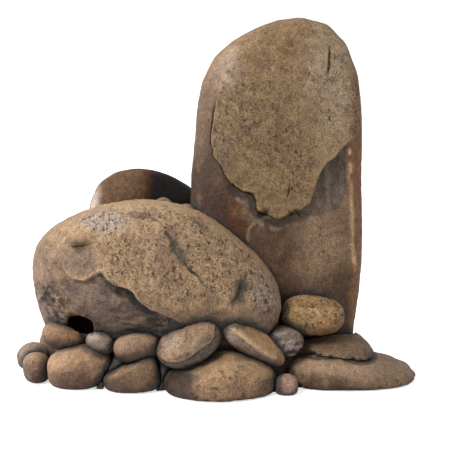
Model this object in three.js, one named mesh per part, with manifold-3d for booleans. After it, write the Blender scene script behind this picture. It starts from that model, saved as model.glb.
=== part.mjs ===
// A cave ornament for an aquarium or terrarium: river stones cast one by one in filled resin and bonded
// together. A tall upright stone leans on a broad cave boulder, with a third boulder behind them. These
// three are hollow shells, open underneath. The cave boulder and the rear boulder share one cave, entered
// by an arch at the back and lit by a small hole at the front. Flat stones and pebbles stand round the
// foot on a thin bed of resin, which holds them together.
//
// Millimetres. +X is to the right, +Y to the back and +Z up. The origin is on the floor, at the middle.

import * as THREE from "three";
import { mergeVertices } from "three/addons/utils/BufferGeometryUtils.js";
import Module from "manifold-3d";

// ---- Driving dimensions ----

const WALL = 5; // cast wall of the hollow stones
const SEAM = 0.35; // bonding gap between one casting and the next
const CENTRE_X = -0.6; // moves the layout so that the origin is midway between its ends
const CENTRE_Y = 11.4; // the same, front to back
const BED_PLATE = 2.6; // thickness of the resin bed under the pebbles
const BED_RISE = 22; // height of the bed where it meets the cave boulder
const FRONT_HOLE = { x: -88, wide: 15.5, foot: 32, top: 46, rise: 5 }; // small hole in the cave's front
const REAR_ARCH = { x: -46, wide: 44, foot: -1, top: 46, rise: 22 }; // the cave's way in, at the back
const PASSAGE = { x: -44, wide: 40, foot: -1, top: 58, rise: 20 }; // from the rear chamber into the cave
const FAR = 400; // longer than the ornament, for blocks that cut right through it

// ---- Solids: three.js geometry in, manifold-3d solids for joining and cutting ----

const wasm = await Module();
wasm.setup();

function withoutSeams(geometry) {
  const bare = geometry.clone();
  bare.deleteAttribute("normal");
  bare.deleteAttribute("uv");
  return mergeVertices(bare, 1e-3);
}

function solidFrom(geometry) {
  const merged = withoutSeams(geometry);
  return new wasm.Manifold(
    new wasm.Mesh({
      numProp: 3,
      vertProperties: new Float32Array(merged.attributes.position.array),
      triVerts: new Uint32Array(merged.index.array),
    }),
  );
}

function geometryFrom(solid) {
  const mesh = solid.getMesh();
  const points = new Float32Array(mesh.numVert * 3);
  for (let i = 0; i < mesh.numVert; i++) {
    points.set(mesh.vertProperties.subarray(i * mesh.numProp, i * mesh.numProp + 3), i * 3);
  }
  const geometry = new THREE.BufferGeometry();
  geometry.setAttribute("position", new THREE.BufferAttribute(points, 3));
  geometry.setIndex(new THREE.BufferAttribute(new Uint32Array(mesh.triVerts), 1));
  geometry.computeVertexNormals();
  return geometry;
}

function largestBody(solid) {
  return solid.decompose().reduce((a, b) => (b.volume() > a.volume() ? b : a));
}

function block(low, high) {
  const size = high.map((value, i) => value - low[i]);
  const box = new THREE.BoxGeometry(...size);
  box.translate(...low.map((value, i) => value + size[i] / 2));
  return solidFrom(box);
}

// Everything below the floor, for cutting flat feet.
const underFloor = block([-FAR, -FAR, -FAR], [FAR, FAR, 0]);

// An arched block along Y: straight sides below, half an ellipse above that rises by a given height.
function archBlock({ x, wide, foot, top, rise }, fromY, toY) {
  const shape = new THREE.Shape();
  const spring = top - rise;
  shape.moveTo(x - wide / 2, foot);
  shape.lineTo(x + wide / 2, foot);
  shape.lineTo(x + wide / 2, spring);
  shape.absellipse(x, spring, wide / 2, rise, 0, Math.PI, false);
  const settings = { depth: toY - fromY, bevelEnabled: false, curveSegments: 12 };
  const arch = new THREE.ExtrudeGeometry(shape, settings);
  arch.rotateX(Math.PI / 2);
  arch.translate(-CENTRE_X, toY - CENTRE_Y, 0);
  return solidFrom(arch);
}

// ---- Stone shapes ----

const degrees = THREE.MathUtils.degToRad;

function eachVertex(geometry, move) {
  const position = geometry.attributes.position;
  const point = new THREE.Vector3();
  for (let i = 0; i < position.count; i++) {
    point.fromBufferAttribute(position, i);
    move(point, i);
    position.setXYZ(i, point.x, point.y, point.z);
  }
  return geometry;
}

// Every point of a closed geometry, moved outwards by a distance.
function grown(geometry, distance) {
  const copy = withoutSeams(geometry);
  copy.computeVertexNormals();
  const normals = copy.attributes.normal;
  const normal = new THREE.Vector3();
  return eachVertex(copy, (point, i) => {
    normal.fromBufferAttribute(normals, i);
    point.addScaledVector(normal, distance);
  });
}

// Slow swells that keep a stone from being a perfect egg. The waves are a few sines over its directions.
function swell(direction, seed) {
  const { x, y, z } = direction;
  return (
    Math.sin(2.1 * x + 1.7 * z + seed) +
    Math.sin(2.6 * y - 2.3 * x + 1.9 * seed) +
    0.6 * Math.sin(4.3 * z + 3.1 * y + 2.7 * seed)
  ) / 2.6;
}

// Radius of a superellipse at a direction with these parts along its two axes: 2 is round, more is squarer.
function squareness(along, across, power) {
  return (along ** power + across ** power) ** (-1 / power);
}

// A point past a soft flat is drawn back onto it, with a rounded edge of the given softness.
function flatten(point, towards, reach, softness) {
  const past = point.dot(towards) - reach + softness;
  if (past <= 0) return;
  point.addScaledVector(towards, softness * (1 - Math.exp(-past / softness)) - past);
}

// A pebble: a squared-off egg with soft flats, turned and put in place. flats are
// [direction x, y, z, reach as a share of the radii]; taper makes it slimmer towards +X, fatter towards -X.
function pebble(stone) {
  const { at, radii, turn = [0, 0, 0], power = 2.3, flats = [], taper = 0 } = stone;
  const { lump = 0.05, seed = 1, detail = 3 } = stone;
  const geometry = withoutSeams(new THREE.IcosahedronGeometry(1, detail));
  const planes = flats.map(([x, y, z, reach]) => {
    return { towards: new THREE.Vector3(x, y, z).normalize(), reach };
  });
  eachVertex(geometry, (point) => {
    const direction = point.clone();
    const round = Math.hypot(direction.x, direction.y);
    point.multiplyScalar(squareness(round, Math.abs(direction.z), power));
    point.multiplyScalar(1 + lump * swell(direction, seed));
    for (const { towards, reach } of planes) flatten(point, towards, reach, 0.22);
    const girth = 1 - taper * point.x;
    point.set(point.x * radii[0], point.y * radii[1] * girth, point.z * radii[2] * girth);
  });
  const angles = new THREE.Euler(...turn.map(degrees), "ZYX");
  geometry.applyMatrix4(new THREE.Matrix4().makeRotationFromEuler(angles));
  geometry.translate(at[0] - CENTRE_X, at[1] - CENTRE_Y, at[2]);
  return geometry;
}

// Distance from the centre to a closed smooth outline, as a function of the angle round it.
function outlineRadius(outline, [centreX, centreZ]) {
  const curve = new THREE.CatmullRomCurve3(
    outline.map(([x, z]) => new THREE.Vector3(x - centreX, 0, z - centreZ)),
    true,
    "centripetal",
  );
  const samples = curve.getPoints(outline.length * 24).map((p) => ({
    angle: Math.atan2(p.z, p.x),
    radius: Math.hypot(p.x, p.z),
  }));
  samples.sort((a, b) => a.angle - b.angle);
  return (angle) => {
    let next = samples.findIndex((s) => s.angle >= angle);
    if (next < 0) next = 0;
    const after = samples[next];
    const before = samples[(next + samples.length - 1) % samples.length];
    const turn = 2 * Math.PI;
    const span = (after.angle - before.angle + turn) % turn || 1;
    const share = ((angle - before.angle + turn) % turn) / span;
    return THREE.MathUtils.lerp(before.radius, after.radius, THREE.MathUtils.clamp(share, 0, 1));
  };
}

// A big stone with a set outline seen from the front. The outline is [x, z] points round the centre;
// front and back are how far it swells from its middle plane, which lies at y. yaw slants that plane,
// lean tips it, and foot narrows the stone's front where it meets the floor.
function boulder({
  outline, centre, y, front, back, power = 2.3, yaw = 0, lean = 0, foot = 1, footRise = 40,
  lump = 0.02, seed = 1, detail = 6, inset = 0,
}) {
  const radiusAt = outlineRadius(outline, centre);
  const geometry = withoutSeams(new THREE.IcosahedronGeometry(1, detail));
  eachVertex(geometry, (point) => {
    const direction = point.clone();
    const angle = Math.atan2(direction.z, direction.x);
    const inPlane = Math.hypot(direction.x, direction.z);
    const lumps = 1 + lump * swell(direction, seed) * Math.abs(direction.y);
    const size = squareness(inPlane, Math.abs(direction.y), power) * lumps;
    const reach = (radiusAt(angle) - inset) * inPlane * size;
    const x = centre[0] + reach * Math.cos(angle);
    const z = centre[1] + reach * Math.sin(angle);
    const atFront = direction.y < 0;
    const depth = (atFront ? front : back) - inset;
    const rise = THREE.MathUtils.smoothstep(z, 0, footRise);
    const narrowing = atFront ? THREE.MathUtils.lerp(foot, 1, rise) : 1;
    const slant = yaw * (x - centre[0]) + lean * (z - centre[1]);
    point.set(x - CENTRE_X, y - CENTRE_Y + direction.y * size * depth * narrowing + slant, z);
  });
  return geometry;
}

// ---- The stones, front view outlines and places ----

const UPRIGHT = {
  outline: [
    [85.5, -12], [90, 20], [94, 48], [96.5, 90], [95.5, 130], [95, 165], [92, 194], [86, 211.5],
    [76.5, 224.5], [64, 230.5], [50, 231.5], [32, 227.5], [11, 217], [-3, 204], [-11, 184.5],
    [-14.5, 150], [-17, 117], [-18, 80], [-14, 40], [-6, 0], [20, -16], [60, -18],
  ],
  centre: [40, 112],
  y: 25,
  front: 27,
  back: 25,
  power: 2.9,
  lean: 0.04,
  lump: 0.03,
  seed: 2,
  detail: 7,
};

const CAVE_BOULDER = {
  outline: [
    [8, -12], [26, 10], [36, 32], [41.5, 46], [41, 60], [35, 73], [25, 85], [8, 98.5], [-9, 109.5],
    [-29, 116], [-55, 117], [-80, 111.5], [-98, 103.5], [-111, 94.5], [-119.5, 82], [-121, 66],
    [-118, 48], [-114, 34], [-107, 16], [-96, -8], [-60, -16], [-20, -18],
  ],
  centre: [-40, 56],
  y: -8,
  front: 37,
  back: 34,
  power: 2.35,
  yaw: -0.16,
  foot: 0.3,
  footRise: 62,
  lump: 0.035,
  seed: 4,
};

const REAR_BOULDER = {
  outline: [
    [-8, -8], [2, 20], [5, 55], [1, 88], [-7, 105], [-18, 115.5], [-34, 124.5], [-50, 128], [-65, 127],
    [-76, 121.5], [-83.5, 111], [-87, 92], [-89, 60], [-86, 26], [-78, -8], [-44, -14],
  ],
  centre: [-42, 58],
  y: 48,
  front: 34,
  back: 36,
  power: 2.3,
  lump: 0.05,
  seed: 7,
  detail: 5,
};

// Plan of the bed plate. It stays behind the fronts of the stones that stand on it.
const BED_OUTLINE = [
  [-119, 8], [-114, -12], [-96, -24], [-72, -30], [-50, -36], [-20, -42], [10, -48], [36, -44],
  [60, -30], [96, -28], [112, -14], [108, 14], [92, 44], [66, 56], [34, 68], [8, 78], [-20, 80],
  [-24, 72], [-66, 72], [-92, 44], [-112, 30],
];

// The mounds of resin against the boulders' feet.
const MOUNDS = [
  { at: [-42, -2, 0], radii: [66, 40, BED_RISE], power: 2.8, seed: 1 },
  { at: [52, 6, 0], radii: [50, 34, BED_RISE + 2], power: 2.8, seed: 2 },
];

const FLAT_STONE_LOWER = {
  outline: [
    [40, 10], [52, 18.5], [78, 19.5], [98, 13.5], [113, 9], [125, 7.5], [130.5, 4], [131, -3],
    [128, -12], [90, -14], [46, -12],
  ],
  centre: [84, 4],
  y: -6,
  front: 36,
  back: 40,
  power: 2.5,
  seed: 3,
  detail: 5,
};

const FLAT_STONE_UPPER = {
  outline: [
    [41, 11], [45, 19], [53, 23.5], [63, 26], [73, 27.2], [83, 27.2], [92, 25], [99, 20],
    [104.5, 13.5], [105, 7], [74, 4], [50, 6],
  ],
  centre: [76, 16],
  y: 2,
  front: 32,
  back: 34,
  power: 2.3,
  seed: 5,
  detail: 4,
};

const PEBBLES = {
  front_boulder: {
    at: [2, -40, 6],
    radii: [37, 25, 22],
    turn: [0, 4, 3],
    power: 2.2,
    flats: [[-0.7, -0.2, 0.75, 0.72]],
    seed: 2.2,
    detail: 4,
  },
  tilted_slab_stone: {
    at: [-17, -40, 32],
    radii: [22, 15, 13],
    turn: [22, -30, -8],
    power: 2.5,
    flats: [[-0.1, -0.5, 1, 0.72]],
    seed: 3,
    detail: 4,
  },
  wedge_stone: {
    at: [-53, -34, 9],
    radii: [20.5, 15, 14],
    turn: [0, -10, 0],
    power: 2.6,
    flats: [[1, 0, 0.1, 0.88], [-0.45, 0, 1, 0.62]],
    seed: 5,
  },
  left_front_stone: { at: [-88, -25, 11], radii: [22, 17, 14.2], turn: [0, -9, 4], power: 2.6, seed: 1.2 },
  ridge_stone: {
    at: [24.5, -38, 31],
    radii: [23.5, 11, 9.2],
    turn: [0, 36, 0],
    power: 2.4,
    taper: 0.24,
    flats: [[0.1, -0.6, 0.8, 0.72]],
    seed: 4,
  },
  left_end_stone: { at: [-117.5, -15, 8], radii: [9.6, 13, 10.8], power: 2.4, seed: 2, detail: 2 },
  left_corner_stone: {
    at: [-121.5, 3, 10.5],
    radii: [11, 13, 8.8],
    turn: [0, -18, 10],
    seed: 6,
    detail: 2,
  },
  hole_stone: {
    at: [-98.5, -15, 29.5],
    radii: [15.5, 12.5, 9],
    turn: [0, 8, 0],
    power: 2.4,
    seed: 8,
    detail: 2,
  },
  small_grey_stone: { at: [-75, -24.5, 27.6], radii: [9.6, 9, 8.4], seed: 9, detail: 2 },
  oval_stone: { at: [-51, -33, 27], radii: [15.8, 11, 9.8], turn: [0, -10, 4], seed: 1.6 },
  block_stone: {
    at: [63, -13, 43],
    radii: [21.3, 13, 12.9],
    turn: [0, 5, 0],
    power: 2.8,
    flats: [[0.1, -0.4, 1, 0.82]],
    seed: 3.4,
  },
  gap_stone: { at: [44, -25, 29], radii: [12.4, 11, 9.5], turn: [0, 14, 0], seed: 5.5, detail: 2 },
  tip_stone: { at: [44.5, -44, 4.5], radii: [7.6, 8.5, 7.6], power: 2.4, seed: 6.5, detail: 2 },
  crest_stone_left: { at: [-35, 16, 105], radii: [7.5, 9, 10], power: 2.2, seed: 7.5, detail: 2 },
  crest_stone_right: {
    at: [-20, 14, 100.5],
    radii: [10, 9, 11],
    turn: [0, 14, 0],
    power: 2.2,
    seed: 8.5,
    detail: 2,
  },
  rear_left_stone: {
    at: [-101, 34, 11],
    radii: [19, 17, 14],
    turn: [0, 4, 20],
    power: 2.4,
    seed: 3.1,
    detail: 2,
  },
  rear_middle_stone: {
    at: [-8, 76, 10],
    radii: [17, 13, 12.5],
    turn: [0, -6, -14],
    seed: 4.4,
    detail: 2,
  },
  rear_right_stone: { at: [30, 62, 13], radii: [24, 16, 16.5], turn: [0, 6, 4], power: 2.4, seed: 5.8 },
  rear_tip_stone: { at: [68, 52, 10], radii: [17, 13, 12], turn: [0, 3, -8], seed: 6.2, detail: 2 },
};

// ---- Bonding: each casting is cut to its neighbours, with the seam between them ----

const taken = []; // the castings already in place, each grown by the seam

function place(geometry) {
  let solid = solidFrom(geometry).subtract(underFloor);
  for (const cutter of taken) solid = solid.subtract(cutter);
  taken.push(solidFrom(grown(geometry, SEAM)));
  return largestBody(solid);
}

// A hollow stone's chamber keeps a full wall towards the neighbours that cut into the stone.
function chamber(shape, detail, neighbours) {
  let solid = solidFrom(boulder({ ...shape, inset: WALL, detail }));
  for (const neighbour of neighbours) solid = solid.subtract(solidFrom(grown(neighbour, WALL + SEAM)));
  return largestBody(solid);
}

// ---- The three hollow stones ----

function hollowStones() {
  const upright = boulder(UPRIGHT);
  const cave = boulder(CAVE_BOULDER);
  const uprightStone = place(upright).subtract(chamber(UPRIGHT, 4, []));
  const passage = archBlock(PASSAGE, CAVE_BOULDER.y + 12, REAR_BOULDER.y);
  const rearArch = archBlock(REAR_ARCH, REAR_BOULDER.y + 12, FAR);
  const frontHole = archBlock(FRONT_HOLE, -FAR, CAVE_BOULDER.y);
  const caveBoulder = place(cave).subtract(chamber(CAVE_BOULDER, 4, [upright]));
  const rearChamber = chamber(REAR_BOULDER, 3, [upright, cave]);
  const rearBoulder = place(boulder(REAR_BOULDER)).subtract(rearChamber);
  return {
    upright_stone: uprightStone,
    cave_boulder: largestBody(caveBoulder.subtract(passage).subtract(frontHole)),
    rear_boulder: largestBody(rearBoulder.subtract(passage).subtract(rearArch)),
  };
}

// ---- The resin bed: a thin plate that the pebbles are set into, and a mound against the boulders ----

function bedPlate() {
  const shape = new THREE.Shape();
  BED_OUTLINE.forEach(([x, y], i) => (i ? shape.lineTo(x, y) : shape.moveTo(x, y)));
  const plate = new THREE.ExtrudeGeometry(shape, { depth: BED_PLATE, bevelEnabled: false });
  plate.translate(-CENTRE_X, -CENTRE_Y, 0);
  return plate;
}

function withoutTaken(solid) {
  return taken.reduce((rest, cutter) => rest.subtract(cutter), solid);
}

// ---- Paint: one matte colour for each stone ----

const STONE_BROWN = 0x7d6653;
const PAINT = {
  upright_stone: 0x816a4e,
  cave_boulder: 0x8d755b,
  rear_boulder: 0x644e3e,
  flat_stone_lower: 0x6e5a43,
  flat_stone_upper: 0x7f6955,
  front_boulder: 0x886f5b,
  tilted_slab_stone: 0x8a7261,
  ridge_stone: 0x9f8469,
  left_front_stone: 0x8c7362,
  left_corner_stone: 0x6b5a54,
  small_grey_stone: 0x8d7f76,
  block_stone: 0x8c7048,
  tip_stone: 0x95786e,
  resin_bed: 0x4a3c31,
};

function paintFor(name) {
  const color = PAINT[name] ?? STONE_BROWN;
  return new THREE.MeshStandardMaterial({ color, roughness: 0.6, metalness: 0 });
}

// ---- Assembly ----

const stones = hollowStones();
const plate = bedPlate();
const plateSolid = withoutTaken(solidFrom(plate));
const plateCutter = solidFrom(grown(plate, SEAM));
taken.push(plateCutter);
stones.flat_stone_lower = place(boulder(FLAT_STONE_LOWER));
stones.flat_stone_upper = place(boulder(FLAT_STONE_UPPER));
for (const [name, shape] of Object.entries(PEBBLES)) stones[name] = place(pebble(shape));
taken.splice(taken.indexOf(plateCutter), 1);
const mounds = MOUNDS.map((shape) => withoutTaken(solidFrom(pebble(shape)).subtract(underFloor)));
stones.resin_bed = largestBody(mounds.reduce((bed, mound) => bed.add(mound), plateSolid));

const ornament = new THREE.Group();
ornament.name = "cave_ornament";
for (const [name, solid] of Object.entries(stones)) {
  const mesh = new THREE.Mesh(geometryFrom(solid), paintFor(name));
  mesh.name = name;
  ornament.add(mesh);
}

export default ornament;
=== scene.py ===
"""Cave ornament for a tank: hand-painted resin river stones, sculpted and painted over the CAD frame.

Each stone of the frame becomes a fine, even mesh. Relief is sculpted by moving its points out and in, paint
is laid on the points in coats, and one procedural material adds the grain, the pits and the specks.
Lengths are in millimetres up to where they are handed to Blender, which takes metres.
"""

import math
from itertools import product
from types import SimpleNamespace

import bmesh
import bpy
import numpy as np
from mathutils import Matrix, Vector
from mathutils.bvhtree import BVHTree


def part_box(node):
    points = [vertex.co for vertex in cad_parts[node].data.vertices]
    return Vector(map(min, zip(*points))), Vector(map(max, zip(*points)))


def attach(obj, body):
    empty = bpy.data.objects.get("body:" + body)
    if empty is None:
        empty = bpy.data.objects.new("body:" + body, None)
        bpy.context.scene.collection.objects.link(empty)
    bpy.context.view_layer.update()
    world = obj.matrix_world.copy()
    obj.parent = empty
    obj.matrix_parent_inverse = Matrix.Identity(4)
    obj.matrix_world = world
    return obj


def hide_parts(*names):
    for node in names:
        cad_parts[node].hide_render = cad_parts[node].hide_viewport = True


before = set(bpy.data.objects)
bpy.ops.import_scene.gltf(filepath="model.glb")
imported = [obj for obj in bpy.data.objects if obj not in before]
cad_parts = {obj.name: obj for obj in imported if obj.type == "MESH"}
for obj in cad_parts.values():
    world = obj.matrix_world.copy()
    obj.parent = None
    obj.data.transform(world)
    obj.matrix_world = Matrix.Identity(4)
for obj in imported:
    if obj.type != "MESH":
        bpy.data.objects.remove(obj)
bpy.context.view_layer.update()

MM = 1000.0  # millimetres in a metre
NEIGHBOUR_REACH = 14.0  # how far a stone looks for its neighbours
LINE_BAND = 3.2  # faces this near a drawn line are split once more
CURVE_STEPS = 4  # straight pieces in each span of a drawn line
FAR = 1e9

CAMERA_TARGET = Vector((0.0061, -0.0114, 0.1))  # metres
CAMERA_DISTANCE = 1.2  # metres
CAMERA_TILT = math.radians(12.0)
CAMERA_LENS = 147.7
LAMP_AIM = Vector((0.0, 0.0, 0.09))
FLOOR_HALF = 8.0  # metres
FLOOR_DROP = 0.0004  # metres below the stones, so that the two surfaces never flicker


# ---- Small maths on arrays of points, in millimetres ----


def smooth(low, high, value):
    """0 below low, 1 above high and an S-curve between; low may be the larger."""
    t = np.clip((value - low) / (high - low), 0.0, 1.0)
    return t * t * (3.0 - 2.0 * t)


def band(value, at, spread):
    """A soft band: 1 where the value is at its middle, and falling off on both sides."""
    return np.exp(-((value - at) ** 2) / spread)


def lattice(ix, iy, iz, seed):
    """A repeatable random number from 0 to 1 at each whole-numbered point, by a common integer hash."""
    h = (ix * 374761393 + iy * 668265263 + iz * 2147483647 + seed * 974634777) & 0xFFFFFFFF
    h = ((h ^ (h >> 13)) * 1274126177) & 0xFFFFFFFF
    h = ((h ^ (h >> 16)) * 2246822519) & 0xFFFFFFFF
    return ((h ^ (h >> 15)) & 0xFFFFFF) / float(0xFFFFFF)


def noise(points, size, seed=0):
    """Smooth noise from -1 to 1, with swells of the given size."""
    p = points / size + seed * 7.31
    cell = np.floor(p).astype(np.int64)
    f = p - cell
    f = f * f * f * (f * (f * 6.0 - 15.0) + 10.0)
    total = np.zeros(len(p))
    for step in product((0, 1), repeat=3):
        wx, wy, wz = np.where(step, f, 1.0 - f).T
        total += wx * wy * wz * lattice(*(cell + step).T, seed)
    return total * 2.0 - 1.0


def rough(points, size, octaves=4, seed=0, gain=0.5):
    """Layers of noise, each half the size of the one before."""
    total = np.zeros(len(points))
    weight = 1.0
    reach = 0.0
    for layer in range(octaves):
        total += weight * noise(points, size / 2.0**layer, seed + layer * 17)
        reach += weight
        weight *= gain
    return total / reach * 1.6


def pocks(points, size, seed=0):
    """Distance to the nearest scattered point, as a share of size, and that point's own random number."""
    p = points / size
    cell = np.floor(p).astype(np.int64)
    nearest = np.full(len(p), 9.0)
    owner = np.zeros(len(p))
    for step in product((-1, 0, 1), repeat=3):
        c = cell + step
        at = [c[:, k] + lattice(*c.T, seed + 31 * k) for k in range(3)]
        gap = np.sqrt(sum((p[:, k] - at[k]) ** 2 for k in range(3)))
        closer = gap < nearest
        nearest = np.where(closer, gap, nearest)
        owner = np.where(closer, lattice(*c.T, seed + 101), owner)
    return nearest, owner


class Trace:
    """A smooth line over a stone, through (across, up) points given as shares of its box."""

    def __init__(self, stone, points, closed):
        low, high = stone.low, stone.high
        at = np.array([[low[0] + u * (high[0] - low[0]), low[2] + w * (high[2] - low[2])] for u, w in points])
        self.closed = closed
        self.line = self.curve(at)

    def curve(self, at):
        """A smooth curve through the points."""
        count = len(at)
        spans = count if self.closed else count - 1
        out = []
        for i in range(spans):
            if self.closed:
                a, b, c, d = (at[(i + k - 1) % count] for k in range(4))
            else:
                a, b, c, d = (at[min(max(i + k - 1, 0), count - 1)] for k in range(4))
            square, cube = 2 * a - 5 * b + 4 * c - d, 3 * b - a - 3 * c + d
            for t in np.arange(CURVE_STEPS) / CURVE_STEPS:
                out.append(0.5 * (2 * b + (c - a) * t + square * t**2 + cube * t**3))
        out.append(at[0] if self.closed else at[-1])
        return np.array(out)

    def measure(self, x, z):
        """For each point: distance to the line, share along it, and the side it lies on (+1 to the left)."""
        best = np.full(len(x), FAR)
        share = np.zeros(len(x))
        side = np.ones(len(x))
        lengths = np.linalg.norm(np.diff(self.line, axis=0), axis=1)
        before = np.concatenate([[0.0], np.cumsum(lengths)])
        for i, length in enumerate(lengths):
            if length < 1e-6:
                continue
            (ax, az), (bx, bz) = self.line[i], self.line[i + 1]
            ux, uz = (bx - ax) / length, (bz - az) / length
            t = np.clip((x - ax) * ux + (z - az) * uz, 0.0, length)
            gap = np.hypot(x - ax - ux * t, z - az - uz * t)
            closer = gap < best
            best = np.where(closer, gap, best)
            share = np.where(closer, (before[i] + t) / before[-1], share)
            side = np.where(closer, np.sign(ux * (z - az) - uz * (x - ax)) + 1e-9, side)
        return best, share, np.sign(side)

    def inside(self, x, z):
        """Signed distance to a closed line, positive inside."""
        gap = self.measure(x, z)[0]
        crossings = np.zeros(len(x), bool)
        for (ax, az), (bx, bz) in zip(self.line[:-1], self.line[1:]):
            spans = (az > z) != (bz > z)
            with np.errstate(divide="ignore", invalid="ignore"):
                meet = ax + (z - az) / (bz - az) * (bx - ax) if bz != az else np.full(len(x), FAR)
            crossings ^= spans & (x < meet)
        return np.where(crossings, gap, -gap)


# ---- Stones: a CAD solid made into a fine, even mesh ----


def linear(levels):
    """A screen colour, 0 to 255, as linear light."""
    share = np.array(levels) / 255.0
    return np.where(share < 0.0404, share / 12.92, ((share + 0.055) / 1.055) ** 2.4)


# Paints are given as they look in even light. The coat's own shine adds a little white, which is taken off.
PAINT_GAIN = 0.96
PAINT_SHEEN = 0.022

BROWN = (112, 87, 66)
UMBER = (74, 54, 42)
MAUVE = (112, 84, 74)
OCHRE = (158, 130, 94)
TAN = (186, 158, 128)
SLATE = (84, 80, 77)
SOOT = (30, 20, 15)
PIT = (70, 49, 36)
# Dark paint between the stones: partly grime in the joints, partly painted shade.
JOINT = (52, 48, 47)
SKIN = (112, 76, 54)  # the bare resin inside a hollow stone


def new_object(name, data):
    """A new object in the scene."""
    obj = bpy.data.objects.new(name, data)
    bpy.context.scene.collection.objects.link(obj)
    return obj


def bake_modifiers(obj):
    """Applies an object's modifiers to its mesh."""
    depsgraph = bpy.context.evaluated_depsgraph_get()
    mesh = bpy.data.meshes.new_from_object(obj.evaluated_get(depsgraph))
    obj.modifiers.clear()
    old = obj.data
    obj.data = mesh
    bpy.data.meshes.remove(old)


def rows(items, field):
    """One row of three numbers for each item."""
    values = np.empty(len(items) * 3, np.float32)
    items.foreach_get(field, values)
    return values.reshape(-1, 3).astype(float)


def coordinates(mesh):
    return rows(mesh.vertices, "co") * MM


def normals(mesh):
    return rows(mesh.vertex_normals, "vector")


def set_coordinates(mesh, points):
    mesh.vertices.foreach_set("co", (points / MM).astype(np.float32).ravel())
    mesh.update()


def relaxed(mesh, points, rounds):
    """Smooths facets away without shrinking: each round pulls in, then pushes out."""
    edges = np.empty(len(mesh.edges) * 2, np.int32)
    mesh.edges.foreach_get("vertices", edges)
    a, b = edges.reshape(-1, 2).T
    count = len(points)
    degree = np.bincount(a, minlength=count) + np.bincount(b, minlength=count)
    for _ in range(rounds):
        for pull in (0.62, -0.64):
            mean = np.empty_like(points)
            for k in range(3):
                near = np.bincount(a, points[b, k], count) + np.bincount(b, points[a, k], count)
                mean[:, k] = near / degree
            points = points + pull * (mean - points)
    return points


def tree_of(names):
    """A search tree over the CAD solids of these nodes, in metres."""
    points, faces = [], []
    for name in names:
        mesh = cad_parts[name].data
        offset = len(points)
        points.extend(v.co.copy() for v in mesh.vertices)
        faces.extend([offset + i for i in p.vertices] for p in mesh.polygons)
    return BVHTree.FromPolygons(points, faces)


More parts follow.
